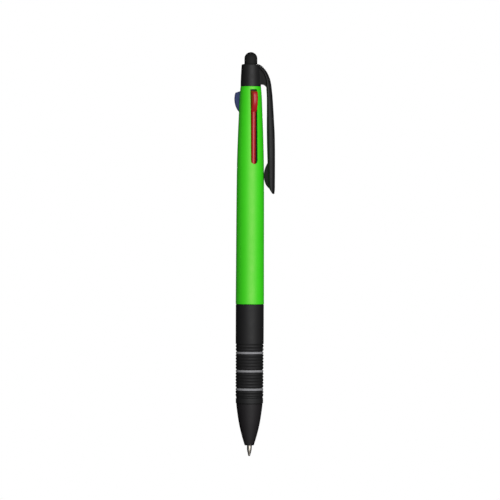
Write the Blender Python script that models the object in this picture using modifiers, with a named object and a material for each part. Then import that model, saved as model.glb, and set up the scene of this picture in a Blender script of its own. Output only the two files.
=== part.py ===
"""Multicolour click pen: three slide levers bring out one refill at a time.

The pen stands on the Z axis with its point down.  Z = 0 is the end face of the nose cone.
Lengths below are in millimetres and are turned into metres by MM when a mesh is made.
A refill and its lever are modelled with the lever up; the black set is then moved down, because
black is the colour that is out at rest.
"""
import math

import bmesh
import bpy
from mathutils import Matrix, Vector

MM = 0.001
ROUND = 40                  # sides of the large turned parts
FINE = 20                   # sides of the small turned parts
GAP = 0.05                  # play between two parts that rest on each other

# heights along the axis
NOSE_TOP = 14.8
BAND_BOTTOM = 14.95
GRIP_BOTTOM, GRIP_TOP = 17.0, 36.1
BARREL_SEAM = 50.3
SPIGOT_BOTTOM = 42.0
PLATE_BOTTOM, PLATE_TOP = 66.5, 68.0
SLIDER_BOTTOM = 92.0        # also the pivot of a refill with its lever up
SLOT_BOTTOM, SLOT_TOP = 100.15, 126.7
BARREL_TOP = 127.8
CAP_TOP = 135.8
CLIP_SPLIT = 124.0

# radii and widths
BARREL_BORE = 4.25
LOWER_RADIUS = 5.0
GRIP_CORE_RADIUS = 4.3
SLOT_WIDTH = 2.4
LEVER_WIDTH = 2.05
STEM_WIDTH = 1.3
CLIP_WIDTH = 3.8
STYLUS_RADIUS = 2.3

# the three refills stand on a circle and lean inwards when they are out
REFILL_CIRCLE = 2.4
TRAVEL = 12.0
BALL_RADIUS = 0.3
BALL_OUT = -3.62            # centre of the ball of the refill that is out
TILT = math.atan(REFILL_CIRCLE / (SLIDER_BOTTOM - TRAVEL - BALL_OUT))
TUBE_RADIUS, TUBE_BORE = 1.0, 0.7
TUBE_BOTTOM, TUBE_TOP = 21.0, 91.1

# directions seen from above, counter-clockwise from +X
COLOURS = {"red": -72.5, "black": 47.5, "blue": 167.5}
OUT_AT_REST = "black"
CLIP_ANGLE = -12.5
FIN_ANGLES = [-12.5, 107.5, 227.5]

RING_HEIGHTS = {"bottom": 20.0, "middle": 26.5, "top": 33.0}
RING_HALF_HEIGHT = 0.4

# name: base colour, roughness, metallic
FINISHES = {
    "green_plastic": ((0.04, 0.5, 0.01), 0.5, 0.0),
    "black_plastic": ((0.01, 0.01, 0.011), 0.6, 0.0),
    "grip_rubber": ((0.008, 0.008, 0.008), 0.6, 0.0),
    "stylus_rubber": ((0.008, 0.008, 0.008), 0.7, 0.0),
    "silver_ring": ((0.32, 0.32, 0.33), 0.6, 0.6),
    "red_plastic": ((0.22, 0.008, 0.008), 0.45, 0.0),
    "blue_plastic": ((0.021, 0.032, 0.1), 0.5, 0.0),
    "white_plastic": ((0.7, 0.7, 0.68), 0.45, 0.0),
    "clear_tube": ((0.75, 0.78, 0.76), 0.25, 0.0),
    "spring_steel": ((0.55, 0.55, 0.56), 0.25, 1.0),
    "nickel_silver": ((0.62, 0.58, 0.5), 0.28, 1.0),
    "ball_carbide": ((0.35, 0.35, 0.36), 0.15, 1.0),
    "red_ink": ((0.45, 0.01, 0.01), 0.3, 0.0),
    "blue_ink": ((0.01, 0.03, 0.3), 0.3, 0.0),
    "black_ink": ((0.01, 0.01, 0.012), 0.3, 0.0),
}


# ---------------------------------------------------------------- helpers

def finish(name):
    """The material of that name, made on first use."""
    if name in bpy.data.materials:
        return bpy.data.materials[name]
    colour, roughness, metallic = FINISHES[name]
    material = bpy.data.materials.new(name)
    material.use_nodes = True
    shader = material.node_tree.nodes["Principled BSDF"]
    shader.inputs["Base Color"].default_value = (*colour, 1.0)
    shader.inputs["Roughness"].default_value = roughness
    shader.inputs["Metallic"].default_value = metallic
    return material


def collection(name):
    """The collection of that name, made on first use."""
    if name not in bpy.data.collections:
        made = bpy.data.collections.new(name)
        bpy.context.scene.collection.children.link(made)
    return bpy.data.collections[name]


def add_object(name, data, material=None, parent=None, group="pen"):
    """Link new data to the scene as a named object with one material of its own."""
    made = bpy.data.objects.new(name, data)
    collection(group).objects.link(made)
    if material:
        data.materials.append(finish(material))
    made.parent = parent
    return made


def mesh_object(name, bm, material=None, parent=None, group="pen"):
    bmesh.ops.remove_doubles(bm, verts=bm.verts, dist=1e-7)
    bmesh.ops.recalc_face_normals(bm, faces=bm.faces)
    mesh = bpy.data.meshes.new(name)
    bm.to_mesh(mesh)
    bm.free()
    return add_object(name, mesh, material, parent, group)


def empty(name, parent=None, location=(0, 0, 0), rotation=(0, 0, 0)):
    made = bpy.data.objects.new(name, None)
    collection("pivots").objects.link(made)
    made.parent = parent
    made.location = Vector(location) * MM
    made.rotation_euler = rotation
    return made


def arc(centre_x, centre_z, radius, start, end, steps):
    """Points of a circular arc, angles in degrees."""
    points = []
    for i in range(steps + 1):
        angle = math.radians(start + (end - start) * i / steps)
        points.append((centre_x + radius * math.cos(angle), centre_z + radius * math.sin(angle)))
    return points


def smooth(points, steps=2):
    """A Catmull-Rom curve through the points, ends included."""
    padded = [points[0], *points, points[-1]]
    curve = []
    for i in range(len(points) - 1):
        p0, p1, p2, p3 = (Vector(p) for p in padded[i:i + 4])
        for step in range(steps):
            t = step / steps
            curve.append(tuple(0.5 * (2 * p1 + (p2 - p0) * t
                                      + (2 * p0 - 5 * p1 + 4 * p2 - p3) * t * t
                                      + (3 * p1 - p0 - 3 * p2 + p3) * t ** 3)))
    curve.append(tuple(points[-1]))
    return curve


def lathe(name, outline, material=None, sides=ROUND, parent=None, group="pen"):
    """Turn a closed (radius, height) outline about the Z axis with a Screw modifier."""
    following = [*outline[1:], outline[0]]
    area = sum(r0 * z1 - r1 * z0 for (r0, z0), (r1, z1) in zip(outline, following))
    if area > 0:                # the outer side of the profile has to run downwards
        outline = list(reversed(outline))
    count = len(outline)
    edges = [(i, (i + 1) % count) for i in range(count)
             if outline[i][0] > 0 or outline[(i + 1) % count][0] > 0]
    mesh = bpy.data.meshes.new(name)
    mesh.from_pydata([(r * MM, 0, z * MM) for r, z in outline], edges, [])
    made = add_object(name, mesh, material, parent, group)
    screw = made.modifiers.new("turned", "SCREW")
    screw.steps = sides
    screw.render_steps = sides
    screw.use_merge_vertices = True
    screw.merge_threshold = 1e-6
    return made


def cylinder(name, radius, bottom, top, material=None, sides=FINE, parent=None, group="pen",
             at=(0, 0)):
    bm = bmesh.new()
    bmesh.ops.create_cone(bm, cap_ends=True, segments=sides, radius1=radius * MM,
                          radius2=radius * MM, depth=(top - bottom) * MM)
    bmesh.ops.translate(bm, verts=bm.verts, vec=Vector((*at, (bottom + top) / 2)) * MM)
    return mesh_object(name, bm, material, parent, group)


def slab(name, outline, width, material=None, parent=None, group="pen"):
    """Extrude an outline in the X-Z plane to a width centred on Y = 0."""
    bm = bmesh.new()
    face = bm.faces.new([bm.verts.new((x * MM, -width / 2 * MM, z * MM)) for x, z in outline])
    made = bmesh.ops.extrude_face_region(bm, geom=[face])
    moved = [item for item in made["geom"] if isinstance(item, bmesh.types.BMVert)]
    bmesh.ops.translate(bm, verts=moved, vec=(0, width * MM, 0))
    return mesh_object(name, bm, material, parent, group)


def loft(name, sections, material=None, parent=None, group="pen"):
    """Skin a list of equal closed sections of (x, y, z) points and cap both ends."""
    bm = bmesh.new()
    rings = [[bm.verts.new(Vector(point) * MM) for point in section] for section in sections]
    for ring, following in zip(rings, rings[1:]):
        bmesh.ops.bridge_loops(bm, edges=[
            bm.edges.get((a, b)) or bm.edges.new((a, b))
            for loop in (ring, following) for a, b in zip(loop, [*loop[1:], loop[0]])])
    for ring in (rings[0], rings[-1]):
        bm.faces.new(ring)
    return mesh_object(name, bm, material, parent, group)


def turn(degrees):
    return (0, 0, math.radians(degrees))


def combine(target, tools, operation):
    """Boolean each tool into the target; the tools stay hidden in their own collection."""
    for tool in tools:
        tool.hide_render = True
        tool.display_type = "WIRE"
        modifier = target.modifiers.new(f"{operation.lower()}_{tool.name}", "BOOLEAN")
        modifier.object = tool
        modifier.operation = operation
        modifier.solver = "EXACT"


def round_edges(target, width, segments=2, angle=35):
    bevel = target.modifiers.new("soft_edges", "BEVEL")
    bevel.width = width * MM
    bevel.segments = segments
    bevel.limit_method = "ANGLE"
    bevel.angle_limit = math.radians(angle)


# ---------------------------------------------------------------- grip section

def make_nose_cone():
    outer = smooth([(1.64, 0.12), (2.77, 3.8), (3.76, 8.1), (4.42, 12.4), (4.7, NOSE_TOP)])
    spigot = [(3.9, NOSE_TOP), (3.9, 19.0), (3.5, 19.0), (3.5, 11.0)]
    bore = [(3.35, 10.4), (1.27, 0.0)]
    lathe("nose_cone", [(1.54, 0.0), *outer, *spigot, *bore], "black_plastic")


def make_lower_barrel():
    outline = [
        (4.77, BAND_BOTTOM), (4.87, BAND_BOTTOM + 0.1), (4.87, GRIP_BOTTOM),
        (GRIP_CORE_RADIUS, GRIP_BOTTOM), (GRIP_CORE_RADIUS, GRIP_TOP),
        (LOWER_RADIUS - 0.06, GRIP_TOP), (LOWER_RADIUS, GRIP_TOP + 0.1),
        (LOWER_RADIUS, BARREL_SEAM - 0.2), (LOWER_RADIUS - 0.1, BARREL_SEAM - GAP),
        (4.15, BARREL_SEAM - GAP), (4.15, SPIGOT_BOTTOM - 0.3), (3.7, SPIGOT_BOTTOM - 0.6),
        (3.7, 20.0), (3.96, 19.6), (3.96, BAND_BOTTOM),
    ]
    lathe("lower_barrel", outline, "black_plastic")


def make_grip_sleeve():
    """Ribbed sleeve with a groove for each ring and a narrow notch above it."""
    rib_base, rib_height = 4.75, 0.24

    def ribs(bottom, top, count):
        points = []
        for i in range(count):
            start = bottom + (top - bottom) * i / count
            pitch = (top - bottom) / count
            points += [(rib_base, start), (rib_base + rib_height, start + 0.4 * pitch),
                       (rib_base + rib_height, start + 0.6 * pitch)]
        return [*points, (rib_base, top)]

    rings = list(RING_HEIGHTS.values())
    outline = ribs(GRIP_BOTTOM + 0.45, rings[0] - RING_HALF_HEIGHT - GAP, 2)
    for i, height in enumerate(rings):
        groove_bottom = height - RING_HALF_HEIGHT - GAP
        groove_top = height + RING_HALF_HEIGHT + GAP
        outline += [(4.5, groove_bottom), (4.5, groove_top), (4.62, groove_top),
                    (4.62, groove_top + 0.12)]
        last = i == len(rings) - 1
        stop = GRIP_TOP - 0.15 if last else rings[i + 1] - RING_HALF_HEIGHT - GAP
        outline += ribs(groove_top + 0.15, stop, 2 if last else 5)
    inner = GRIP_CORE_RADIUS + 0.03
    bottom = [(inner, GRIP_TOP - GAP), (inner, GRIP_BOTTOM + GAP), (4.7, GRIP_BOTTOM + GAP)]
    lathe("grip_sleeve", [*outline, (4.7, GRIP_TOP - GAP), *bottom], "grip_rubber")


def make_grip_rings():
    for place, height in RING_HEIGHTS.items():
        low, high = height - RING_HALF_HEIGHT, height + RING_HALF_HEIGHT
        outline = [(4.53, low), (4.8, low), (4.91, low + 0.15), (4.91, high - 0.15),
                   (4.8, high), (4.53, high)]
        lathe(f"grip_ring_{place}", outline, "silver_ring")


# ---------------------------------------------------------------- upper barrel

def make_upper_barrel():
    outer = smooth([(5.05, BARREL_SEAM + 0.15), (4.99, 66), (4.93, 86), (4.81, 100),
                    (4.59, 108.6), (4.27, 117.1), (3.96, 124.3), (3.76, 126.7),
                    (3.66, BARREL_TOP)])
    inner = [(3.2, BARREL_TOP), (3.2, 127.0), (3.42, 125.9), (3.62, 119.0),
             (BARREL_BORE, 100.5), (BARREL_BORE, PLATE_BOTTOM - GAP),
             (3.85, PLATE_BOTTOM - GAP), (3.65, 64.0), (3.65, SPIGOT_BOTTOM)]
    spigot = [(4.05, SPIGOT_BOTTOM), (4.05, BARREL_SEAM), (4.93, BARREL_SEAM)]
    barrel = lathe("upper_barrel", [*outer, *inner, *spigot], "green_plastic")
    half = SLOT_WIDTH / 2
    window = [(half, SLOT_TOP), (-half, SLOT_TOP),
              *arc(0, SLOT_BOTTOM + half, half, 180, 360, 12)]
    cutters = []
    for colour, angle in COLOURS.items():
        bm = bmesh.new()
        face = bm.faces.new([bm.verts.new((2.9 * MM, y * MM, z * MM)) for y, z in window])
        made = bmesh.ops.extrude_face_region(bm, geom=[face])
        moved = [item for item in made["geom"] if isinstance(item, bmesh.types.BMVert)]
        bmesh.ops.translate(bm, verts=moved, vec=(4 * MM, 0, 0))
        cutter = mesh_object(f"cut_{colour}_slot", bm, group="cutters")
        cutter.rotation_euler = turn(angle)
        cutters.append(cutter)
    combine(barrel, cutters, "DIFFERENCE")


def make_guide_core():
    """Centre rod with three fins between the sliders and a collar that catches a lever."""
    core = lathe("guide_core", [
        (0, PLATE_TOP + GAP), (0.6, PLATE_TOP + GAP), (0.6, 114.7), (1.0, 115.0), (1.0, 117.0),
        (0.6, 117.6), (0.6, 128.9), (0, 128.9)], "black_plastic", FINE)
    fins = []
    for i, angle in enumerate(FIN_ANGLES):
        outline = [(0.1, 70.0), (3.3, 70.0), (3.3, 125.5), (0.1, 125.5)]
        fin = slab(f"add_fin_{i + 1}", outline, 0.5, group="cutters")
        fin.rotation_euler = turn(angle)
        fins.append(fin)
    combine(core, fins, "UNION")


def make_spring_guide_plate():
    """Disc that the springs push on; each hole is long enough for a leaning refill."""
    plate = cylinder("spring_guide_plate", BARREL_BORE - GAP, PLATE_BOTTOM, PLATE_TOP,
                     "white_plastic", ROUND)
    reach = REFILL_CIRCLE - 0.4
    outline = [*arc(REFILL_CIRCLE, 0, 1.12, -90, 90, 14), *arc(reach, 0, 1.12, 90, 270, 14)]
    cutters = []
    for colour, angle in COLOURS.items():
        bm = bmesh.new()
        low, high = (PLATE_BOTTOM - 1) * MM, (PLATE_TOP - PLATE_BOTTOM + 2) * MM
        face = bm.faces.new([bm.verts.new((x * MM, y * MM, low)) for x, y in outline])
        made = bmesh.ops.extrude_face_region(bm, geom=[face])
        moved = [item for item in made["geom"] if isinstance(item, bmesh.types.BMVert)]
        bmesh.ops.translate(bm, verts=moved, vec=(0, 0, high))
        cutter = mesh_object(f"cut_{colour}_hole", bm, group="cutters")
        cutter.rotation_euler = turn(angle)
        cutters.append(cutter)
    combine(plate, cutters, "DIFFERENCE")


# ---------------------------------------------------------------- cap, clip and stylus

def strap_sections(outer, inner):
    """Sections across the strap: widest at mid depth, narrower underneath and outside."""
    half = CLIP_WIDTH / 2
    sections = []
    for (outer_x, outer_z), (inner_x, inner_z) in zip(smooth(outer), smooth(inner)):
        depth = math.hypot(outer_x - inner_x, outer_z - inner_z)
        profile = [(0, 0.55 - half), (0.4 * depth, -half), (0.6 * depth, 0.05 - half),
                   (0.85 * depth, 0.5 - half), (0.96 * depth, 0.8 - half), (depth, 1.15 - half)]
        profile += [(d, -h) for d, h in reversed(profile)]
        sections.append([(inner_x + (outer_x - inner_x) * d / depth, h,
                          inner_z + (outer_z - inner_z) * d / depth) for d, h in profile])
    return sections


def make_top_cap():
    """Cap with the root of the clip: a curved strap and a thinner web under it."""
    side = smooth([(3.63, BARREL_TOP + GAP), (3.59, 130.0), (3.44, 133.3), (3.34, 134.9)])
    outline = [
        (0, 129.2), (0.7, 129.2), (0.7, SLOT_TOP + GAP), (3.12, SLOT_TOP + GAP),
        (3.12, BARREL_TOP + GAP), *side, *arc(2.86, 135.35, 0.45, 15, 90, 4),
        (2.35, CAP_TOP), (2.35, 133.8), (0.85, 133.8), (0.85, 135.9), (0, 136.0),
    ]
    cap = lathe("top_cap", outline, "black_plastic")
    outer = [(2.5, 135.9), (3.3, 135.6), (4.2, 134.9), (5.4, 133.5), (6.25, 132.0),
             (6.85, 130.5), (7.25, 128.8), (7.55, 126.6), (7.82, CLIP_SPLIT)]
    inner = [(2.5, 135.0), (2.9, 134.8), (3.5, 134.2), (4.5, 133.1), (5.25, 131.8),
             (5.7, 130.4), (5.88, 128.9), (5.98, 126.6), (6.12, CLIP_SPLIT)]
    strap = loft("add_clip_strap", strap_sections(outer, inner), group="cutters")
    web_outline = [(2.6, 134.6), (3.6, 134.3), (5.1, 132.4), (6.4, 130.0), (6.5, 126.8),
                   (6.1, 126.8), (5.9, 127.45), (5.4, 128.0), (4.6, 128.4), (3.3, 128.6),
                   (2.6, 128.65)]
    web = slab("add_clip_web", web_outline, 2.0, group="cutters")
    for piece in (strap, web):
        piece.rotation_euler = turn(CLIP_ANGLE)
    combine(cap, [strap, web], "UNION")


def make_clip_arm():
    """The long springy part of the clip, with a narrower pad that presses on the barrel."""
    pivot = Vector((7.0, 0, CLIP_SPLIT)) * MM
    frame = empty("clip_place", rotation=turn(CLIP_ANGLE))
    split = CLIP_SPLIT - 0.12
    outer = [(7.83, split), (8.16, 119.3), (8.42, 115.0), (8.66, 110.7), (8.78, 105.0),
             (8.81, 98.0), (8.8, 93.0), (8.78, 91.0), (8.62, 89.55)]
    inner = [(6.13, split), (6.16, 119.3), (6.16, 115.0), (6.2, 110.7), (6.35, 105.0),
             (6.6, 98.0), (6.85, 92.8), (7.3, 91.2), (8.2, 89.65)]
    arm = loft("clip_arm", strap_sections(outer, inner), "black_plastic", frame)
    pad_outline = [(7.1, 101.4), *smooth([(6.35, 100.5), (5.48, 98.6), (5.12, 96.6),
                                          (5.27, 94.5), (5.92, 92.7), (7.3, 91.2)], 3)]
    pad = slab("add_clip_pad", pad_outline, 2.2, group="cutters")
    round_edges(pad, 0.2)
    for piece in (arm, pad):
        piece.data.transform(Matrix.Translation(-pivot))
        piece.location = pivot
    pad.parent = frame
    combine(arm, [pad], "UNION")


def make_stylus_tip():
    """Rubber dome that is pushed on to the peg of the cap."""
    dome = arc(0, 137.88, STYLUS_RADIUS, 0, 90, 7)
    outline = [(STYLUS_RADIUS - 0.1, 133.88), (STYLUS_RADIUS, 134.0), *dome[:-1], (0, 140.13),
               (0, 136.3), (0.93, 136.2), (0.93, 133.88)]
    lathe("stylus_tip", outline, "stylus_rubber", 28)


# ---------------------------------------------------------------- one colour: slider to ball

def make_slider(colour, frame):
    """Push lever, stem in the slot, stick inside the barrel and socket for the refill."""
    lever_outline = [
        (2.9, 126.1), (3.9, 126.2), (4.6, 126.0), (5.3, 125.75), (5.5, 125.58), (5.66, 125.2),
        (5.79, 124.6), (5.88, 123.5), (5.8, 122.4), (5.56, 121.3), (5.18, 120.3),
        (4.66, 119.4), (4.1, 118.7), (2.9, 118.7),
    ]
    slider = slab(f"{colour}_slider", lever_outline, LEVER_WIDTH, f"{colour}_plastic", frame)
    round_edges(slider, 0.4, 3)
    stem = slab(f"add_{colour}_stem", [(2.4, 97.5), (4.1, 97.5), (4.1, 125.4), (2.4, 125.4)],
                STEM_WIDTH, group="cutters")
    stick = cylinder(f"add_{colour}_stick", 1.05, 95.0, 125.7, group="cutters", at=(2.15, 0))
    foot = cylinder(f"add_{colour}_foot", 1.65, SLIDER_BOTTOM, 96.5, group="cutters",
                    at=(REFILL_CIRCLE, 0))
    socket = cylinder(f"cut_{colour}_socket", 0.95, SLIDER_BOTTOM - 1, 95.5, group="cutters",
                      at=(REFILL_CIRCLE, 0))
    for tool in (stem, stick, foot, socket):
        tool.parent = frame
    combine(slider, [stem, stick, foot], "UNION")
    combine(slider, [socket], "DIFFERENCE")


def make_spring(colour, frame, drop):
    """Coil between the guide plate and the slider, with a closed turn at each end."""
    wire, coil, turns, per_turn = 0.3, 1.55, 9, 10
    bottom, top = PLATE_TOP + 0.17, SLIDER_BOTTOM - drop - 0.17
    closed_pitch = wire + GAP
    open_pitch = (top - bottom - 2 * closed_pitch) / (turns - 2)
    curve = bpy.data.curves.new(f"{colour}_spring", "CURVE")
    curve.dimensions = "3D"
    curve.bevel_depth = wire / 2 * MM
    curve.bevel_resolution = 2
    curve.use_fill_caps = True
    count = turns * per_turn + 1
    spline = curve.splines.new("POLY")
    spline.points.add(count - 1)
    for i in range(count):
        done = i / per_turn
        rise = (closed_pitch * min(done, 1) + open_pitch * min(max(done - 1, 0), turns - 2)
                + closed_pitch * max(done - turns + 1, 0))
        angle = 2 * math.pi * done
        x = REFILL_CIRCLE + coil * math.cos(angle)
        y = coil * math.sin(angle)
        spline.points[i].co = (x * MM, y * MM, (bottom + rise) * MM, 1)
    add_object(f"{colour}_spring", curve, "spring_steel", frame)


def make_refill(colour, pivot):
    """Plug, tube, ink, metal point and ball; heights here are counted from the pivot."""
    def height(z):
        return z - SLIDER_BOTTOM

    plug = [(0, height(84.6)), (0.38, height(84.6)), (0.45, height(84.9)), (0.62, height(91.2)),
            (1.0, height(91.2)), (1.0, -0.1), (0.8, -0.1), (0.8, 3.0), (0.65, 3.2), (0, 3.2)]
    lathe(f"{colour}_refill_plug", plug, "white_plastic", FINE, pivot)

    tube = [(TUBE_BORE, height(TUBE_BOTTOM)), (TUBE_RADIUS, height(TUBE_BOTTOM)),
            (TUBE_RADIUS, height(TUBE_TOP)), (TUBE_BORE, height(TUBE_TOP))]
    lathe(f"{colour}_refill_tube", tube, "clear_tube", FINE, pivot)
    cylinder(f"{colour}_ink", 0.64, height(24.0), height(78.0), f"{colour}_ink", FINE, pivot)

    ball = BALL_OUT + TRAVEL
    socket = arc(0, height(ball), BALL_RADIUS + 0.03, -10, 90, 4)
    point = [
        *reversed(socket), (0.34, height(ball - 0.1)), (0.38, height(ball)),
        (0.61, height(ball + 1.02)), (0.74, height(ball + 1.5)), (0.85, height(ball + 2.1)),
        (0.85, height(TUBE_BOTTOM - 0.4)), (1.0, height(TUBE_BOTTOM - 0.4)),
        (1.0, height(TUBE_BOTTOM - 0.1)), (0.66, height(TUBE_BOTTOM - 0.1)),
        (0.66, height(23.8)), (0, height(23.8)),
    ]
    lathe(f"{colour}_refill_tip", point, "nickel_silver", FINE, pivot)

    bpy.ops.mesh.primitive_uv_sphere_add(segments=12, ring_count=8, radius=BALL_RADIUS * MM)
    sphere = bpy.context.object
    sphere.name = f"{colour}_writing_ball"
    for holder in list(sphere.users_collection):
        holder.objects.unlink(sphere)
    collection("pen").objects.link(sphere)
    sphere.data.materials.append(finish("ball_carbide"))
    sphere.parent = pivot
    sphere.location = (0, 0, height(ball) * MM)


def make_colour(colour, angle):
    drop = TRAVEL if colour == OUT_AT_REST else 0.0
    lean = TILT if colour == OUT_AT_REST else 0.0
    place = empty(f"{colour}_place", rotation=turn(angle))
    frame = empty(f"{colour}_slide", place, (0, 0, -drop))
    pivot = empty(f"{colour}_refill_pivot", frame, (REFILL_CIRCLE, 0, SLIDER_BOTTOM),
                  (0, lean, 0))
    make_slider(colour, frame)
    make_spring(colour, place, drop)
    make_refill(colour, pivot)


# ---------------------------------------------------------------- the pen

def main():
    for item in list(bpy.data.objects):
        bpy.data.objects.remove(item, do_unlink=True)
    make_nose_cone()
    make_lower_barrel()
    make_grip_sleeve()
    make_grip_rings()
    make_upper_barrel()
    make_guide_core()
    make_spring_guide_plate()
    make_top_cap()
    make_clip_arm()
    make_stylus_tip()
    for colour, angle in COLOURS.items():
        make_colour(colour, angle)


main()
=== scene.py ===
"""Looks of the multicolour click pen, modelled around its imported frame.

The pen stands on the Z axis with its point down; Z = 0 is the end face of the nose cone.
Lengths in this script are in millimetres unless a name ends in _m or _M; MM turns them into
metres. Outlines of turned pieces are (radius, height) points, and those of levers, clip and
pad are (distance from the axis, height) points.
"""
import math

import bmesh
import bpy
from mathutils import Matrix, Vector


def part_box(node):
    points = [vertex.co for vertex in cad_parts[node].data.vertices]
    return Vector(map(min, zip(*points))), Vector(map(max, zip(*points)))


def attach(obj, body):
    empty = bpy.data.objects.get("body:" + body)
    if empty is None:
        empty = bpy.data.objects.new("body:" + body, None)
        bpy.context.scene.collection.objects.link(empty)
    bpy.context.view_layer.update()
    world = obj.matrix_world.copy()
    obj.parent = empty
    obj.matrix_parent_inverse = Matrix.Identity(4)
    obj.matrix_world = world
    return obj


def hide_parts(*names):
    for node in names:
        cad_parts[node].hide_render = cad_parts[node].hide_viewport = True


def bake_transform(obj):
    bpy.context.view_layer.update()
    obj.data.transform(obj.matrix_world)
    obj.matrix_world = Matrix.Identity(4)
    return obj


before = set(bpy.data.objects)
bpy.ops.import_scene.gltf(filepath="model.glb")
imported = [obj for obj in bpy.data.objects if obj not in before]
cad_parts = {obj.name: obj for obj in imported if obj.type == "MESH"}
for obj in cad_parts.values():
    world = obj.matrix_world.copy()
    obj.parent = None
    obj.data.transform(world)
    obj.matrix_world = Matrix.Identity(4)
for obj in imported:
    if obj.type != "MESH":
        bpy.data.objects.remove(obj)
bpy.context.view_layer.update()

MM = 0.001
SIDES = 144                 # sides of the large turned pieces
STYLUS_SIDES = 96           # sides of the soft dome
SMALL_SIDES = 48            # sides of the refills and of the sliders' round parts
MERGE_M = 1e-7              # points closer than this are one point
SHARP_ANGLE = 32            # edges that turn by more degrees stay sharp


def node_span(node):
    """Lowest and highest Z of a CAD node, in millimetres."""
    low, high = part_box(node)
    return low.z / MM, high.z / MM


# heights taken from the frame
NOSE_END, _ = node_span("nose_cone")
BAND_BOTTOM, BARREL_SEAM = node_span("lower_barrel")
SPIGOT_BOTTOM, BARREL_TOP = node_span("upper_barrel")
SLEEVE_BOTTOM, SLEEVE_TOP = node_span("grip_sleeve")
_, CAP_PEG_TOP = node_span("top_cap")
STYLUS_BOTTOM, STYLUS_TOP = node_span("stylus_tip")
PLATE_BOTTOM, _ = node_span("spring_guide_plate")
POINT_LOW, _ = node_span("black_writing_ball")
HIDDEN_BALL_LOW, HIDDEN_BALL_HIGH = node_span("red_writing_ball")

# driving sizes that the frame doesn't list; angles are in degrees about the pen's axis
NOSE_TOP = 14.8
CAP_TOP = 135.8
SLOT_BOTTOM, SLOT_TOP, SLOT_WIDTH = 100.15, 126.7, 2.4
LEVER_WIDTH, STEM_WIDTH = 2.05, 1.56
CLIP_WIDTH, WEB_WIDTH = 3.8, 2.3
CLIP_ANGLE = -12.5
COLOUR_ANGLES = {"red": -72.5, "black": 47.5, "blue": 167.5}
REFILL_CIRCLE = 2.4         # distance of a refill from the pen's axis
SLIDER_BOTTOM = 92.0        # while its point is in; also where a refill pivots
TRAVEL = 12.0               # of a slider
CAP_BOTTOM = SLOT_TOP - 0.95          # lower end of the boss inside the barrel
CAP_BOTTOM_RIM = BARREL_TOP + 0.05    # rim that faces the barrel's upper end
STYLUS_SEAT = 133.8         # floor of the recess that takes the soft dome
SPRING_WIRE, SPRING_RADIUS, SPRING_TURNS = 0.3, 1.55, 9
TUBE_BORE, TUBE_RADIUS, TUBE_BOTTOM, TUBE_TOP = 0.7, 1.0, 21.0, 91.1
BALL_RADIUS = 0.3
BALL_OUT = (HIDDEN_BALL_LOW + HIDDEN_BALL_HIGH) / 2 - TRAVEL    # its centre, point out
# how far a refill leans so that its point leaves through the middle of the cone
TILT = math.atan(REFILL_CIRCLE / (SLIDER_BOTTOM - TRAVEL - BALL_OUT))


# ---------------------------------------------------------------- outlines

def arc(centre_x, centre_z, radius, start, end, steps):
    """Points of a circular arc, angles in degrees."""
    points = []
    for i in range(steps + 1):
        angle = math.radians(start + (end - start) * i / steps)
        points.append((centre_x + radius * math.cos(angle), centre_z + radius * math.sin(angle)))
    return points


def smooth(points, steps):
    """A Catmull-Rom curve through the points, ends included, with `steps` to each stretch."""
    padded = [points[0], *points, points[-1]]
    curve = []
    for i in range(len(points) - 1):
        p0, p1, p2, p3 = (Vector(p) for p in padded[i:i + 4])
        for step in range(steps):
            t = step / steps
            curve.append(tuple(0.5 * (2 * p1 + (p2 - p0) * t
                                      + (2 * p0 - 5 * p1 + 4 * p2 - p3) * t * t
                                      + (3 * p1 - p0 - 3 * p2 + p3) * t ** 3)))
    curve.append(tuple(points[-1]))
    return curve


def soften(points, radius, steps=4, least=20):
    """Round the corners of a closed outline that turn by `least` degrees or more.

    A corner whose first coordinate is zero or less stays sharp.
    """
    count = len(points)
    result = []
    for i, point in enumerate(points):
        here = Vector(point)
        before = Vector(points[i - 1]) - here
        after = Vector(points[(i + 1) % count]) - here
        turn_angle = math.pi - before.angle(after, math.pi)
        if point[0] <= 0 or turn_angle < math.radians(least):
            result.append(point)
            continue
        reach = min(radius, before.length * 0.45, after.length * 0.45)
        start, end = here + before.normalized() * reach, here + after.normalized() * reach
        for step in range(steps + 1):
            t = step / steps
            result.append(tuple((1 - t) ** 2 * start + 2 * t * (1 - t) * here + t * t * end))
    return result


def radius_at(curve, height):
    """Radius of a (radius, height) curve at a height."""
    ordered = sorted(curve, key=lambda point: point[1])
    for (r0, z0), (r1, z1) in zip(ordered, ordered[1:]):
        if z0 <= height <= z1 and z1 > z0:
            return r0 + (r1 - r0) * (height - z0) / (z1 - z0)
    return ordered[0][0] if height < ordered[0][1] else ordered[-1][0]


def subdivide(points, step):
    """Put extra points on the long edges of a closed outline."""
    result = []
    for here, following in zip(points, [*points[1:], points[0]]):
        start, end = Vector(here), Vector(following)
        pieces = max(1, math.ceil((end - start).length / step))
        result += [tuple(start.lerp(end, i / pieces)) for i in range(pieces)]
    return result


# ---------------------------------------------------------------- mesh helpers

def mesh_object(name, bm, material, place):
    """Turn a bmesh into a smooth-shaded object whose mesh is already in its place."""
    bmesh.ops.remove_doubles(bm, verts=bm.verts, dist=MERGE_M)
    bmesh.ops.recalc_face_normals(bm, faces=bm.faces)
    if place is not None:
        bmesh.ops.transform(bm, matrix=place, verts=bm.verts)
    mesh = bpy.data.meshes.new(name)
    bm.to_mesh(mesh)
    bm.free()
    made = bpy.data.objects.new(name, mesh)
    bpy.context.scene.collection.objects.link(made)
    if material:
        mesh.materials.append(material)
    shade(made)
    return made


def shade(made):
    """Smooth shading, with sharp edges where the surface turns."""
    mesh = made.data
    mesh.polygons.foreach_set("use_smooth", [True] * len(mesh.polygons))
    mesh.set_sharp_from_angle(angle=math.radians(SHARP_ANGLE))


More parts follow.
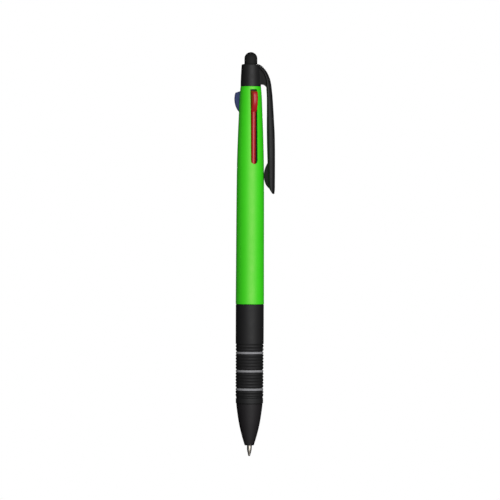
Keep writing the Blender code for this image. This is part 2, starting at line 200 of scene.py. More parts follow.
def lathe(name, outline, material=None, sides=SIDES, place=None, at=(0, 0)):
    """Turn a closed (radius, height) outline about the vertical through `at`."""
    bm = bmesh.new()
    verts = [bm.verts.new((r * MM, 0, z * MM)) for r, z in outline]
    for i, vert in enumerate(verts):
        following = (i + 1) % len(verts)
        if outline[i][0] > 0 or outline[following][0] > 0:
            bm.edges.new((vert, verts[following]))
    bmesh.ops.spin(bm, geom=bm.verts[:] + bm.edges[:], cent=(0, 0, 0), axis=(0, 0, 1),
                   angle=2 * math.pi, steps=sides, use_merge=True)
    bmesh.ops.translate(bm, verts=bm.verts, vec=(at[0] * MM, at[1] * MM, 0))
    return mesh_object(name, bm, material, place)


def loft(name, sections, material=None, place=None):
    """Skin a list of equal closed sections of (x, y, z) points and cap both ends."""
    bm = bmesh.new()
    rings = [[bm.verts.new(Vector(point) * MM) for point in section] for section in sections]
    count = len(rings[0])
    for lower, upper in zip(rings, rings[1:]):
        for i in range(count):
            j = (i + 1) % count
            bm.faces.new((lower[i], lower[j], upper[j], upper[i]))
    bm.faces.new(list(reversed(rings[0])))
    bm.faces.new(rings[-1])
    return mesh_object(name, bm, material, place)


def slab(name, outline, width, place, bevel, draft):
    """Extrude an outline in the X-Z plane to a width centred on Y = 0, with bevelled rims.

    A draft of (x, slope) narrows the slab from its full width at x towards the axis.
    """
    bm = bmesh.new()
    face = bm.faces.new([bm.verts.new((x * MM, -width / 2 * MM, z * MM)) for x, z in outline])
    made = bmesh.ops.extrude_face_region(bm, geom=[face])
    moved = [item for item in made["geom"] if isinstance(item, bmesh.types.BMVert)]
    bmesh.ops.translate(bm, verts=moved, vec=(0, width * MM, 0))
    full_at, slope = draft
    for vert in bm.verts:
        lost = max(0.0, full_at - vert.co.x / MM) * slope
        vert.co.y *= 1 - 2 * lost / width
    rims = [edge for edge in bm.edges
            if abs(edge.verts[0].co.y - edge.verts[1].co.y) < width * MM / 2]
    bmesh.ops.bevel(bm, geom=rims, offset=bevel * MM, segments=3, profile=0.5,
                    affect="EDGES", clamp_overlap=True)
    return mesh_object(name, bm, None, place)


def turned(degrees):
    """A place that is turned about the pen's axis."""
    return Matrix.Rotation(math.radians(degrees), 4, "Z")


def combine(target, tools, operation):
    """Boolean each tool into the target and delete the tool."""
    for tool in tools:
        modifier = target.modifiers.new(operation.lower(), "BOOLEAN")
        modifier.object = tool
        modifier.operation = operation
        modifier.solver = "EXACT"
    depsgraph = bpy.context.evaluated_depsgraph_get()
    merged = bpy.data.meshes.new_from_object(target.evaluated_get(depsgraph))
    target.modifiers.clear()
    target.data = merged
    for tool in tools:
        bpy.data.objects.remove(tool, do_unlink=True)
    bm = bmesh.new()
    bm.from_mesh(merged)
    bmesh.ops.remove_doubles(bm, verts=bm.verts, dist=2 * MERGE_M)
    bmesh.ops.dissolve_degenerate(bm, edges=bm.edges, dist=MERGE_M)
    bm.to_mesh(merged)
    bm.free()
    shade(target)


def keep(piece, body, slot, *nodes):
    """The piece rides on a body and stands for CAD nodes; the slot is not used."""
    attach(piece, body)
    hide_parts(*nodes)


# ---------------------------------------------------------------- materials

NOISE_LOW, NOISE_HIGH = 0.3, 0.7    # the part of a noise's range that is spread out
MIX_DARK, MIX_LIGHT, MIX_RESULT = 6, 7, 2    # colour sockets of a Mix node, which share names


def new_material(name):
    """A material with its node tree and its Principled shader."""
    material = bpy.data.materials.new(name)
    material.use_nodes = True
    tree = material.node_tree
    return material, tree, tree.nodes["Principled BSDF"]


def grain(tree, scale, detail=3.0, stretch=(1, 1, 1), roughness=0.5):
    """Noise in the object's own space, where one unit is a metre."""
    place = tree.nodes.new("ShaderNodeTexCoord")
    mapping = tree.nodes.new("ShaderNodeMapping")
    mapping.inputs["Scale"].default_value = stretch
    noise = tree.nodes.new("ShaderNodeTexNoise")
    for name, value in (("Scale", scale), ("Detail", detail), ("Roughness", roughness)):
        noise.inputs[name].default_value = value
    tree.links.new(place.outputs["Object"], mapping.inputs["Vector"])
    tree.links.new(mapping.outputs["Vector"], noise.inputs["Vector"])
    return noise.outputs["Fac"]


def spread(tree, source, low, high):
    """Map a noise value to a range of numbers."""
    node = tree.nodes.new("ShaderNodeMapRange")
    for name, value in (("From Min", NOISE_LOW), ("From Max", NOISE_HIGH),
                        ("To Min", low), ("To Max", high)):
        node.inputs[name].default_value = value
    tree.links.new(source, node.inputs["Value"])
    return node.outputs["Result"]


def tint(tree, source, dark, light):
    """Mix two colours by a value."""
    node = tree.nodes.new("ShaderNodeMix")
    node.data_type = "RGBA"
    node.inputs[MIX_DARK].default_value = (*dark, 1)
    node.inputs[MIX_LIGHT].default_value = (*light, 1)
    tree.links.new(source, node.inputs["Factor"])
    return node.outputs[MIX_RESULT]


def add_bump(tree, shader, sources):
    """Chain bumps of (value, height in millimetres, strength) into the shader's normal."""
    normal = None
    for value, height, strength in sources:
        bump = tree.nodes.new("ShaderNodeBump")
        bump.inputs["Distance"].default_value = height * MM
        bump.inputs["Strength"].default_value = strength
        tree.links.new(value, bump.inputs["Height"])
        if normal:
            tree.links.new(normal, bump.inputs["Normal"])
        normal = bump.outputs["Normal"]
    tree.links.new(normal, shader.inputs["Normal"])


def moulded_plastic(name, colour, rough, specular, shift, texture=0.012, gloss=(1, 1, 1)):
    """Injection-moulded plastic: spark-eroded grain, faint flow streaks and handling marks.

    `shift` is how far the colour varies, `texture` the depth of the grain and `gloss` the
    tint of the highlights.
    """
    material, tree, shader = new_material(name)
    flow = grain(tree, 160, 2.0, (1, 1, 0.12))
    fine = grain(tree, 5200, 4.0)
    haze = grain(tree, 420, 5.0, roughness=0.65)
    dark = tuple(channel * (1 - shift) for channel in colour)
    light = tuple(min(1, channel * (1 + shift)) for channel in colour)
    tree.links.new(tint(tree, spread(tree, flow, 0, 1), dark, light), shader.inputs["Base Color"])
    tree.links.new(spread(tree, haze, rough - 0.04, rough + 0.05), shader.inputs["Roughness"])
    shader.inputs["Specular IOR Level"].default_value = specular
    shader.inputs["Specular Tint"].default_value = (*gloss, 1)
    add_bump(tree, shader, [(fine, texture, 0.35), (flow, texture * 2, 0.15)])
    return material


def rubber(name, colour, rough, specular):
    """Soft rubber: matt, with a pitted skin and dusty worn patches."""
    material, tree, shader = new_material(name)
    pits = grain(tree, 3600, 5.0, roughness=0.7)
    dust = grain(tree, 260, 4.0)
    light = tuple(channel * 1.35 + 0.001 for channel in colour)
    tree.links.new(tint(tree, spread(tree, dust, 0, 1), colour, light),
                   shader.inputs["Base Color"])
    tree.links.new(spread(tree, pits, rough - 0.06, rough + 0.08), shader.inputs["Roughness"])
    shader.inputs["Specular IOR Level"].default_value = specular
    add_bump(tree, shader, [(pits, 0.02, 0.4)])
    return material


def turned_metal(name, colour, rough, metallic=1.0):
    """Metal from a lathe: fine rings around the axis and a slightly uneven polish."""
    material, tree, shader = new_material(name)
    rings = grain(tree, 2600, 3.0, (0.02, 0.02, 1))
    cloud = grain(tree, 900, 3.0)
    dark = tuple(channel * 0.86 for channel in colour)
    tree.links.new(tint(tree, spread(tree, cloud, 0, 1), dark, colour),
                   shader.inputs["Base Color"])
    tree.links.new(spread(tree, rings, rough - 0.05, rough + 0.08), shader.inputs["Roughness"])
    shader.inputs["Metallic"].default_value = metallic
    add_bump(tree, shader, [(rings, 0.006, 0.3)])
    return material


def clear_plastic(name, colour, rough):
    """Extruded tube that the ink shows through, with faint draw lines."""
    material, tree, shader = new_material(name)
    lines = grain(tree, 2400, 2.0, (1, 1, 0.02))
    light = tuple(min(1, channel * 1.08) for channel in colour)
    tree.links.new(tint(tree, spread(tree, lines, 0, 1), colour, light),
                   shader.inputs["Base Color"])
    tree.links.new(spread(tree, lines, rough - 0.05, rough + 0.05), shader.inputs["Roughness"])
    shader.inputs["Alpha"].default_value = 0.14
    shader.inputs["IOR"].default_value = 1.49
    shader.inputs["Specular IOR Level"].default_value = 0.35
    add_bump(tree, shader, [(lines, 0.004, 0.3)])
    return material


def ink_paste(name, colour):
    """Thick ink with faint swirls."""
    material, tree, shader = new_material(name)
    swirl = grain(tree, 700, 3.0, (1, 1, 0.3))
    light = tuple(min(1, channel * 1.3 + 0.002) for channel in colour)
    tree.links.new(tint(tree, spread(tree, swirl, 0, 1), colour, light),
                   shader.inputs["Base Color"])
    tree.links.new(spread(tree, swirl, 0.18, 0.3), shader.inputs["Roughness"])
    shader.inputs["Specular IOR Level"].default_value = 0.1
    return material


GREEN = moulded_plastic("green_satin_plastic", (0.017, 0.51, 0.001), rough=0.55,
                        specular=0.85, shift=0.05, texture=0.006, gloss=(1, 0.5, 0.5))
BLACK = moulded_plastic("barrel_satin_plastic", (0.0078, 0.0078, 0.0082), rough=0.62,
                        specular=0.24, shift=0.1, texture=0.008)
CAP_BLACK = moulded_plastic("cap_satin_plastic", (0.0088, 0.0088, 0.0092), rough=0.55,
                            specular=0.235, shift=0.1, texture=0.008)
NOSE_BLACK = moulded_plastic("nose_satin_plastic", (0.0085, 0.0075, 0.0085), rough=0.62,
                             specular=0.25, shift=0.1)
RED = moulded_plastic("red_satin_plastic", (0.31, 0.006, 0.009), rough=0.36,
                      specular=0.32, shift=0.06, texture=0.006)
BLUE = moulded_plastic("blue_satin_plastic", (0.021, 0.032, 0.1), rough=0.5,
                       specular=0.3, shift=0.06, texture=0.006)
LEVER_BLACK = moulded_plastic("lever_black_plastic", (0.009, 0.009, 0.01), rough=0.4,
                              specular=0.4, shift=0.1)
INNER_WHITE = moulded_plastic("inner_white_plastic", (0.72, 0.72, 0.69), rough=0.5,
                              specular=0.4, shift=0.04)
# black of the guide core: painted shade for the inside of the slots
CORE_SHADE_BLACK = moulded_plastic("core_black_painted_slot_shade", (0.01, 0.01, 0.011), rough=0.55,
                              specular=0.3, shift=0.1)
GRIP = rubber("grip_soft_rubber", (0.006, 0.006, 0.0062), rough=0.6, specular=0.27)
STYLUS = rubber("stylus_matt_rubber", (0.006, 0.006, 0.006), rough=0.7, specular=0.12)
SILVER = turned_metal("ring_silver_plating", (0.21, 0.21, 0.22), rough=0.75, metallic=0.25)
NICKEL = turned_metal("point_nickel_silver", (0.42, 0.39, 0.34), rough=0.42)
STEEL = turned_metal("spring_steel_wire", (0.6, 0.6, 0.6), rough=0.28)
CARBIDE = turned_metal("ball_ground_carbide", (0.4, 0.4, 0.41), rough=0.16)
TUBE = clear_plastic("refill_clear_tube", (0.4, 0.42, 0.41), rough=0.3)
LEVERS = {"red": RED, "blue": BLUE, "black": LEVER_BLACK}
INKS = {
    "red": ink_paste("ink_red", (0.3, 0.004, 0.006)),
    "blue": ink_paste("ink_blue", (0.004, 0.012, 0.16)),
    "black": ink_paste("ink_black", (0.006, 0.006, 0.008)),
}


# ---------------------------------------------------------------- grip section

RING_PLACES = ("bottom", "middle", "top")


def make_nose_cone():
    """Cone with the hole for the point and the spigot that goes into the lower barrel."""
    hole, bore, spigot, spigot_top = 1.3, 3.5, 3.9, 19.0
    outer = smooth([(1.66, 0.1), (2.77, 3.8), (3.76, 8.1), (4.42, 12.4), (4.69, NOSE_TOP)], 10)
    end = [(hole, NOSE_END + 0.02), (1.36, NOSE_END), (1.5, NOSE_END), (1.59, 0.03)]
    top = [(4.62, NOSE_TOP), (spigot, NOSE_TOP), (spigot, 18.9), (3.82, spigot_top),
           (bore, spigot_top), (bore, 11.0), (3.35, 10.4)]
    nose = lathe("nose_shell", [*end, *outer, *top], NOSE_BLACK)
    keep(nose, "grip_section", "black_plastic", "nose_cone")


def make_lower_barrel():
    """Barrel with a band under the grip and a neck that the grip sits on."""
    band, neck, neck_top, outside = 4.87, 4.3, 36.1, 5.0
    spigot_bore, bore, cone_bore = 4.15, 3.7, 3.96
    corners = [
        (4.72, BAND_BOTTOM), (band, BAND_BOTTOM + 0.12), (band, 16.9), (neck, 17.0),
        (neck, neck_top), (4.92, neck_top), (outside, 36.3), (outside, BARREL_SEAM - 0.16),
        (4.9, BARREL_SEAM), (spigot_bore, BARREL_SEAM), (spigot_bore, SPIGOT_BOTTOM - 0.3),
        (bore, SPIGOT_BOTTOM - 0.6), (bore, 20.0), (cone_bore, 19.6), (cone_bore, BAND_BOTTOM),
    ]
    barrel = lathe("lower_barrel_shell", soften(corners, 0.07), BLACK)
    keep(barrel, "grip_section", "black_plastic", "lower_barrel")


def make_grip_sleeve():
    """Rounded ribs, with a groove for each ring and a sharp notch above it."""
    base, rib_height, rib_steps, rib_shape = 4.74, 0.25, 8, 1.2
    bore, groove, notch, gap = 4.33, 4.5, 4.6, 0.05
    grooves = []
    for place in RING_PLACES:
        low, high = node_span(f"grip_ring_{place}")
        grooves.append((low - gap, high + gap))

    def ribs(bottom, top, count):
        """Outline of `count` rounded ribs between two heights."""
        points = []
        pitch = (top - bottom) / count
        for i in range(count):
            for step in range(rib_steps):
                share = step / rib_steps
                swell = math.sin(math.pi * share) ** rib_shape
                points.append((base + rib_height * swell, bottom + pitch * (i + share)))
        return [*points, (base, top)]

    outline = [(4.76, SLEEVE_BOTTOM + 0.05), (4.8, SLEEVE_BOTTOM + 0.2)]
    outline += ribs(SLEEVE_BOTTOM + 0.4, grooves[0][0], 2)
    for i, (low, high) in enumerate(grooves):
        last = i == len(grooves) - 1
        stop = SLEEVE_TOP - 0.12 if last else grooves[i + 1][0]
        outline += [(groove, low), (groove, high), (notch, high), (notch, high + 0.12)]
        outline += ribs(high + 0.16, stop, 2 if last else 5)
    outline += [(4.7, SLEEVE_TOP), (bore, SLEEVE_TOP), (bore, SLEEVE_BOTTOM),
                (4.7, SLEEVE_BOTTOM)]
    sleeve = lathe("grip_ribbed_sleeve", outline, GRIP)
    keep(sleeve, "grip_section", "grip_rubber", "grip_sleeve")


def make_grip_rings():
    """Three silver rings with rounded edges."""
    inside, outside = 4.53, 4.91
    for place in RING_PLACES:
        low, high = node_span(f"grip_ring_{place}")
        corners = [(inside, low), (outside, low), (outside, high), (inside, high)]
        ring = lathe(f"silver_ring_{place}", soften(corners, 0.2, 6), SILVER)
        keep(ring, "grip_section", "silver_ring", f"grip_ring_{place}")


# ---------------------------------------------------------------- upper barrel

# outside of the green shell, from the seam to its upper end
BARREL_CURVE = smooth([(5.05, BARREL_SEAM + 0.2), (4.99, 66), (4.93, 86), (4.81, 100),
                       (4.59, 108.6), (4.27, 117.1), (3.96, 124.3), (3.76, 126.7),
                       (3.675, BARREL_TOP - 0.12)], 12)


def slot_cutter(name, angle):
    """Window cutter that flares at the surface, so that the slot gets a small chamfer."""
    inner_end, chamfer = 2.9, 0.2
    half = SLOT_WIDTH / 2
    corners = [(half, SLOT_TOP), (-half, SLOT_TOP),
               *arc(0, SLOT_BOTTOM + half, half, 180, 360, 24)]
    window = subdivide(soften(corners, 0.18, 3), 0.8)
    middle = (SLOT_BOTTOM + SLOT_TOP) / 2
    half_height = (SLOT_TOP - SLOT_BOTTOM) / 2

    def layer(offset, flare):
        """The window at an offset from the surface (None: inside), grown by the flare."""
        points = []
        for y, z in window:
            surface = math.sqrt(radius_at(BARREL_CURVE, z) ** 2 - y * y)
            points.append((inner_end if offset is None else surface + offset,
                           y * (1 + flare / half),
                           middle + (z - middle) * (1 + flare / half_height)))
        return points

    sections = [layer(None, 0), layer(-0.1, 0), layer(0.14, chamfer), layer(1.5, chamfer)]
    return loft(name, sections, None, turned(angle))


def make_upper_barrel():
    """Green shell with three slots, a ledge for the guide plate and a spigot below."""
    mouth, bore, spigot, spigot_bore = 3.2, 4.25, 4.05, 3.65
    ledge, seam = PLATE_BOTTOM - 0.05, BARREL_SEAM + 0.05
    inner = [(3.62, BARREL_TOP), (mouth, BARREL_TOP), (mouth, 127.0), (3.42, 125.9),
             (3.62, 119.0), (bore, 100.5), (bore, ledge), (3.85, ledge),
             (spigot_bore, 64.0), (spigot_bore, SPIGOT_BOTTOM)]
    foot = [(4.0, SPIGOT_BOTTOM), (spigot, SPIGOT_BOTTOM + 0.1), (spigot, seam),
            (4.95, seam), (5.03, BARREL_SEAM + 0.1)]
    barrel = lathe("green_barrel_shell", [*BARREL_CURVE, *inner, *foot], GREEN)
    cutters = [slot_cutter(f"{colour}_window", angle)
               for colour, angle in COLOUR_ANGLES.items()]
    combine(barrel, cutters, "DIFFERENCE")
    keep(barrel, "barrel_section", "green_plastic", "upper_barrel")


# ---------------------------------------------------------------- cap, clip and stylus

# the strap of the clip from the cap to its free end, as (distance from the axis, height):
# its outer line, then the line under it
CLIP_OUTER = [(2.5, 135.9), (3.3, 135.6), (4.2, 134.9), (5.4, 133.5), (6.25, 132.0), (6.85, 130.5),
              (7.25, 128.8), (7.55, 126.6), (7.82, 124.0), (8.16, 119.3), (8.42, 115.0),
              (8.66, 110.7), (8.78, 105.0), (8.81, 98.0), (8.8, 93.0), (8.78, 91.0), (8.62, 89.55)]
CLIP_INNER = [(2.5, 135.0), (2.9, 134.8), (3.5, 134.2), (4.5, 133.1), (5.25, 131.8), (5.7, 130.4),
              (5.88, 128.9), (5.98, 126.6), (6.12, 124.0), (6.16, 119.3), (6.16, 115.0),
              (6.2, 110.7), (6.35, 105.0), (6.6, 98.0), (6.85, 92.8), (7.3, 91.2), (8.2, 89.65)]


def strap_sections():
    """Sections across the strap: narrow underneath, with large round corners outside."""
    outer, inner = smooth(CLIP_OUTER, 10), smooth(CLIP_INNER, 10)
    last, tail_sections, tail_narrowing = len(outer) - 1, 14, 0.5
    sections = []
    for i, ((outer_x, outer_z), (inner_x, inner_z)) in enumerate(zip(outer, inner)):
        depth = math.hypot(outer_x - inner_x, outer_z - inner_z)
        tail = max(0.0, 1 - (last - i) / tail_sections)
        half = CLIP_WIDTH / 2 - tail_narrowing * tail * tail
        side = [(0, 0.6 - half), (0.35 * depth, -half - 0.02), (0.62 * depth, 0.03 - half),
                (0.87 * depth, 0.48 - half), (depth, 1.1 - half)]
        corners = [*side, (depth + 0.04, 0), *((d, -h) for d, h in reversed(side))]
        profile = soften(corners, 0.12, 3, least=-1)
        sections.append([(inner_x + (outer_x - inner_x) * d / depth, h,
                          inner_z + (outer_z - inner_z) * d / depth) for d, h in profile])
    return sections


def make_cap_and_clip():
    """Cap with its spigot, the peg for the soft dome and the pocket clip, in one piece."""
    hole, seat = 0.7, 2.35
    peg, peg_chamfer = 0.85, 0.15
    boss, spigot, spigot_bottom = 2.85, 3.12, SLOT_TOP - 0.4
    side = smooth([(3.63, CAP_BOTTOM_RIM + 0.05), (3.59, 130.0), (3.44, 133.3), (3.34, 134.9)], 6)
    edge = arc(2.86, 135.35, 0.45, 12, 90, 8)
    outline = [(0, 129.2), (hole, 129.2), (hole, CAP_BOTTOM), (boss, CAP_BOTTOM),
               (boss, spigot_bottom), (spigot, spigot_bottom), (spigot, CAP_BOTTOM_RIM),
               (3.58, CAP_BOTTOM_RIM), *side, *edge, (2.42, CAP_TOP), (seat, CAP_TOP - 0.07),
               (seat, STYLUS_SEAT), (peg, STYLUS_SEAT), (peg, CAP_PEG_TOP - peg_chamfer),
               (peg - peg_chamfer, CAP_PEG_TOP), (0, CAP_PEG_TOP)]
    cap = lathe("cap_and_clip", outline, CAP_BLACK)
    place = turned(CLIP_ANGLE)
    strap = loft("strap", strap_sections(), None, place)
    web_outline = [(2.6, 134.6), (3.6, 134.3), (5.1, 132.4), (6.4, 130.0), (6.5, 126.8),
                   *smooth([(6.1, 126.75), (5.9, 127.45), (5.4, 128.0), (4.6, 128.4),
                            (3.3, 128.6)], 6), (2.6, 128.65)]
    web = slab("web", web_outline, WEB_WIDTH, place, bevel=0.12, draft=(6.5, 0.08))
    pad_outline = [(7.1, 101.4), *smooth([(6.35, 100.5), (5.48, 98.6), (5.12, 96.6), (5.27, 94.5),
                                          (5.92, 92.7), (7.3, 91.2)], 6)]
    pad = slab("pad", pad_outline, WEB_WIDTH, place, bevel=0.2, draft=(7.3, 0.1))
    combine(cap, [strap, web, pad], "UNION")
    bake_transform(cap)
    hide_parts("top_cap", "clip_arm")


def make_stylus():
    """Soft dome with a blind hole for the cap's peg."""
    radius, hole = 2.3, 0.93
    dome = arc(0, STYLUS_TOP - radius, radius, 0, 90, 24)[:-1]
    outline = [(2.2, STYLUS_BOTTOM), (radius, STYLUS_BOTTOM + 0.1), (radius, 136.6), *dome,
               (0, STYLUS_TOP), (0, 136.3), (hole, 136.2), (hole, STYLUS_BOTTOM)]
    stylus = lathe("stylus_dome", outline, STYLUS, STYLUS_SIDES)
    keep(stylus, "barrel_section", "stylus_rubber", "stylus_tip")


def make_inner_guides():
    """The guide core and the plate keep their CAD shapes and get their own finish; the core's
    black is painted shade, so that the inside of the slots looks dark.
    """
    for node, material in (("guide_core", CORE_SHADE_BLACK), ("spring_guide_plate", INNER_WHITE)):
        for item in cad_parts[node].material_slots:
            item.material = material


# ---------------------------------------------------------------- levers and refills

def rounded_section(low, high, half, corner, z):
    """Section across a lever or stem at height z: flat inside, large round corners outside."""
    crown = 0.03
    side = [(low, -half), *arc(high - corner, corner - half, corner, -90, -4, 8)]
    other_side = [(x, -y) for x, y in reversed(side)]
    return [(x, y, z) for x, y in (*side, (high + crown, 0), *other_side)]


def make_slider(colour, place):
    """Thumb lever, stem in the slot, stick inside the barrel and foot with a socket."""
    corner, lever_inside, stem_inside, stem_outside = 0.7, 2.9, 2.4, 4.1
    stick_circle, stick_radius, stick_bottom, stick_top = 2.15, 1.05, 95.0, 125.7
    foot_radius, foot_top, socket_radius, socket_top = 1.65, 96.5, 0.95, 95.5
    profile = smooth([(4.1, 118.7), (4.66, 119.4), (5.18, 120.3), (5.56, 121.3), (5.8, 122.4),
                      (5.88, 123.5), (5.79, 124.6), (5.66, 125.2), (5.5, 125.58), (5.3, 125.75),
                      (4.6, 126.0), (3.9, 126.2)], 6)
    lever = loft(f"{colour}_lever",
                 [rounded_section(lever_inside, r + 0.01, LEVER_WIDTH / 2, corner, z)
                  for r, z in profile], LEVERS[colour], place)
    stem = loft("stem", [rounded_section(stem_inside, stem_outside, STEM_WIDTH / 2, corner, z)
                         for z in (97.5, 104.0, 112.0, 118.0, 125.4)], None, place)
    stick = lathe("stick", [(0, stick_bottom), (stick_radius, stick_bottom),
                            (stick_radius, stick_top - 0.1), (stick_radius - 0.1, stick_top),
                            (0, stick_top)],
                  None, SMALL_SIDES, place, at=(stick_circle, 0))
    foot = lathe("foot", soften([(0, SLIDER_BOTTOM), (foot_radius, SLIDER_BOTTOM),
                                 (foot_radius, foot_top), (0, foot_top)], 0.15),
                 None, SMALL_SIDES, place, at=(REFILL_CIRCLE, 0))
    socket_bottom = SLIDER_BOTTOM - 1
    socket = lathe("socket", [(0, socket_bottom), (socket_radius, socket_bottom),
                              (socket_radius, socket_top), (0, socket_top)],
                   None, SMALL_SIDES, place, at=(REFILL_CIRCLE, 0))
    combine(lever, [stem, stick, foot], "UNION")
    combine(lever, [socket], "DIFFERENCE")
    slot = "black_plastic" if colour == "black" else f"{colour}_plastic"
    keep(lever, f"{colour}_lever", slot, f"{colour}_slider")


def coil(name, bottom, top, turns, start_turn, place):
    """Part of a spring as a wire swept along a helix that starts at a given turn."""
    steps_per_turn, wire_sides = 24, 8
    sections = []
    steps = round(turns * steps_per_turn)
    for i in range(steps + 1):
        share = i / steps
        angle = 2 * math.pi * (start_turn + turns * share)
        height = bottom + (top - bottom) * share
        outward = Vector((math.cos(angle), math.sin(angle), 0))
        centre = Vector((REFILL_CIRCLE, 0, height)) + outward * SPRING_RADIUS
        ring = []
        for k in range(wire_sides):
            around = 2 * math.pi * k / wire_sides
            ring.append(tuple(centre + outward * (SPRING_WIRE / 2 * math.cos(around))
                              + Vector((0, 0, SPRING_WIRE / 2 * math.sin(around)))))
        sections.append(ring)
    return loft(name, sections, STEEL, place)


def make_spring(colour, angle):
    """Spring between the guide plate and the lever's foot.

    The black one is two half coils, because two joints lie between its ends.
    """
    place = turned(angle)
    bottom, top = node_span(f"{colour}_spring")
    bottom, top = bottom + SPRING_WIRE / 2, top - SPRING_WIRE / 2

    if colour == "black":
        middle, half_turns = (bottom + top) / 2, SPRING_TURNS / 2
        lower = coil("black_coil_lower", bottom, middle, half_turns, 0, place)
        upper = coil("black_coil_upper", middle, top, half_turns, half_turns, place)
        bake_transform(lower)
        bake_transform(upper)
        for piece in (lower, upper):
            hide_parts("black_spring")
    else:
        spring = coil(f"{colour}_coil", bottom, top, SPRING_TURNS, 0, place)
        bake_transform(spring)
        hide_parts(f"{colour}_spring")


def make_refill(colour, place):
    """Plug, tube, ink, metal point and ball; heights are counted from the pivot."""
    seat = "black_refill_seat" if colour == "black" else f"{colour}_refill"
    body = f"{colour}_refill"

    def lower(points):
        """Heights counted from the pivot instead of from the frame's origin."""
        return [(r, z - SLIDER_BOTTOM) for r, z in points]

    plug = lower([(0, 84.6), (0.38, 84.6), (0.45, 84.9), (0.62, 91.2), (1.0, 91.2), (1.0, 91.9),
                  (0.8, 91.9), (0.8, 95.0), (0.65, 95.2), (0, 95.2)])
    made = lathe(f"{colour}_plug", soften(plug, 0.06), INNER_WHITE, SMALL_SIDES, place)
    keep(made, seat, "white_plastic", f"{colour}_refill_plug")

    tube = lower([(TUBE_BORE, TUBE_BOTTOM), (TUBE_RADIUS, TUBE_BOTTOM),
                  (TUBE_RADIUS, TUBE_TOP), (TUBE_BORE, TUBE_TOP)])
    made = lathe(f"{colour}_tube", soften(tube, 0.05), TUBE, SMALL_SIDES, place)
    keep(made, body, "clear_tube", f"{colour}_refill_tube")

    ink_radius, ink_bottom, ink_top = 0.64, 24.0, 77.8
    ink = lower([(0, ink_bottom), (ink_radius, ink_bottom), (ink_radius, ink_top),
                 (0, ink_top - 0.4)])
    made = lathe(f"{colour}_ink_column", ink, INKS[colour], SMALL_SIDES, place)
    keep(made, body, f"{colour}_ink", f"{colour}_ink")

    ball, play = BALL_OUT + TRAVEL, 0.03
    socket = arc(0, ball, BALL_RADIUS + play, -10, 89, 8)
    point = [(0, socket[-1][1]), *reversed(socket), (0.34, ball - 0.1), (0.375, ball - 0.02),
             *smooth([(0.4, ball + 0.1), (0.6, ball + 1.0), (0.75, ball + 1.55),
                      (0.84, ball + 2.15), (0.86, ball + 2.7)], 5), (0.86, 20.6), (1.0, 20.65),
             (1.0, 20.9), (0.66, 20.9), (0.66, 23.7), (0.6, 23.8), (0, 23.8)]
    made = lathe(f"{colour}_point", lower(point), NICKEL, SMALL_SIDES, place)
    keep(made, body, "nickel_silver", f"{colour}_refill_tip")

    sphere = [(0, ball - BALL_RADIUS), *arc(0, ball, BALL_RADIUS, -85, 85, 20),
              (0, ball + BALL_RADIUS)]
    made = lathe(f"{colour}_ball", lower(sphere), CARBIDE, SMALL_SIDES, place)
    keep(made, f"{colour}_ball", "ball_carbide", f"{colour}_writing_ball")


def make_colour(colour, angle):
    """Lever, spring and refill of one colour; black is the one whose point is out."""
    out = colour == "black"
    drop = Matrix.Translation((0, 0, -TRAVEL * MM if out else 0))
    frame_place = turned(angle) @ drop
    pivot = Matrix.Translation(Vector((REFILL_CIRCLE, 0, SLIDER_BOTTOM)) * MM)
    lean = Matrix.Rotation(TILT if out else 0, 4, "Y")
    make_slider(colour, frame_place)
    make_spring(colour, angle)
    make_refill(colour, frame_place @ pivot @ lean)


# ---------------------------------------------------------------- stage, light and camera

FLOOR_Z_M = POINT_LOW * MM - 0.0002    # just under the point
FLOOR_RADIUS_M, BACKDROP_RADIUS_M = 1.5, 4.0
LIGHT_TARGET_Z_M = 0.07


def glow(name):
    """White stage material that keeps its brightness under any light."""
    material, _, shader = new_material(name)
    shader.inputs["Base Color"].default_value = (0, 0, 0, 1)
    shader.inputs["Roughness"].default_value = 1.0
    shader.inputs["Specular IOR Level"].default_value = 0.0
    shader.inputs["Emission Color"].default_value = (1, 1, 1, 1)
    shader.inputs["Emission Strength"].default_value = 1.0
    return material


def camera_only(piece):
    """The pen isn't lit by this piece and doesn't mirror it."""
    piece.visible_diffuse = False
    piece.visible_glossy = False
    piece.visible_transmission = False
    piece.visible_shadow = False


def make_stage():
    """White floor and a white dome around everything."""
    bpy.ops.mesh.primitive_uv_sphere_add(segments=48, ring_count=24, radius=BACKDROP_RADIUS_M)
    dome = bpy.context.object
    dome.name = "studio_backdrop"
    dome.data.materials.append(glow("backdrop_white"))
    bpy.ops.mesh.primitive_circle_add(vertices=96, radius=FLOOR_RADIUS_M, fill_type="NGON",
                                      location=(0, 0, FLOOR_Z_M))
    floor = bpy.context.object
    floor.name = "studio_floor"
    floor.data.materials.append(glow("floor_white"))
    for piece in (dome, floor):
        camera_only(piece)


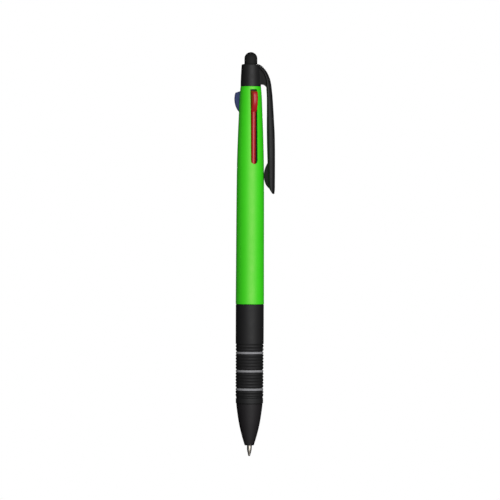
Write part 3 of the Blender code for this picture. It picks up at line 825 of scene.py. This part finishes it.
def area_light(name, azimuth, elevation, distance_m, size_m, power):
    """Soft box that faces the pen from a sphere around it; azimuth 0 is the camera's side."""
    light = bpy.data.lights.new(name, "AREA")
    light.shape = "RECTANGLE"
    light.size, light.size_y = size_m
    light.energy = power
    made = bpy.data.objects.new(name, light)
    bpy.context.scene.collection.objects.link(made)
    a, e = math.radians(azimuth), math.radians(elevation)
    made.location = (distance_m * math.sin(a) * math.cos(e),
                     -distance_m * math.cos(a) * math.cos(e),
                     LIGHT_TARGET_Z_M + distance_m * math.sin(e))
    facing = Vector((0, 0, LIGHT_TARGET_Z_M)) - made.location
    made.rotation_euler = facing.to_track_quat("-Z", "Y").to_euler()


def make_lights():
    """A broad soft box in front, one behind and an even fill that adds no gloss."""
    area_light("key_softbox", azimuth=14, elevation=6, distance_m=0.9, size_m=(0.8, 0.8),
               power=12.0)
    area_light("back_softbox", azimuth=180, elevation=20, distance_m=1.0, size_m=(0.4, 0.6),
               power=8.0)
    world = bpy.data.worlds.new("studio_world")
    bpy.context.scene.world = world
    world.use_nodes = True
    background = world.node_tree.nodes["Background"]
    background.inputs["Color"].default_value = (1, 1, 1, 1)
    background.inputs["Strength"].default_value = 0.25
    world.cycles_visibility.glossy = False


VIEW_HEIGHT = 178.2         # what the view takes in at the pen
CENTRE_X, CENTRE_Z = -0.02, 69.6
DISTANCE_M = 1.107
ROLL = 0.25                 # degrees


def make_camera():
    """Level camera in front of the pen, turned a little about its own axis."""
    data = bpy.data.cameras.new("camera")
    data.sensor_width = 36
    data.lens = data.sensor_width * DISTANCE_M / (VIEW_HEIGHT * MM)
    data.clip_start, data.clip_end = 0.05, 20
    camera = bpy.data.objects.new("camera", data)
    bpy.context.scene.collection.objects.link(camera)
    camera.location = (CENTRE_X * MM, -DISTANCE_M, CENTRE_Z * MM)
    level = Matrix.Rotation(math.radians(90), 4, "X")
    camera.rotation_euler = (level @ Matrix.Rotation(math.radians(ROLL), 4, "Z")).to_euler()
    bpy.context.scene.camera = camera
    bpy.context.scene.view_settings.view_transform = "Standard"


make_stage()
make_lights()
make_camera()
make_nose_cone()
make_lower_barrel()
make_grip_sleeve()
make_grip_rings()
make_upper_barrel()
make_cap_and_clip()
make_stylus()
make_inner_guides()
for pen_colour, pen_angle in COLOUR_ANGLES.items():
    make_colour(pen_colour, pen_angle)
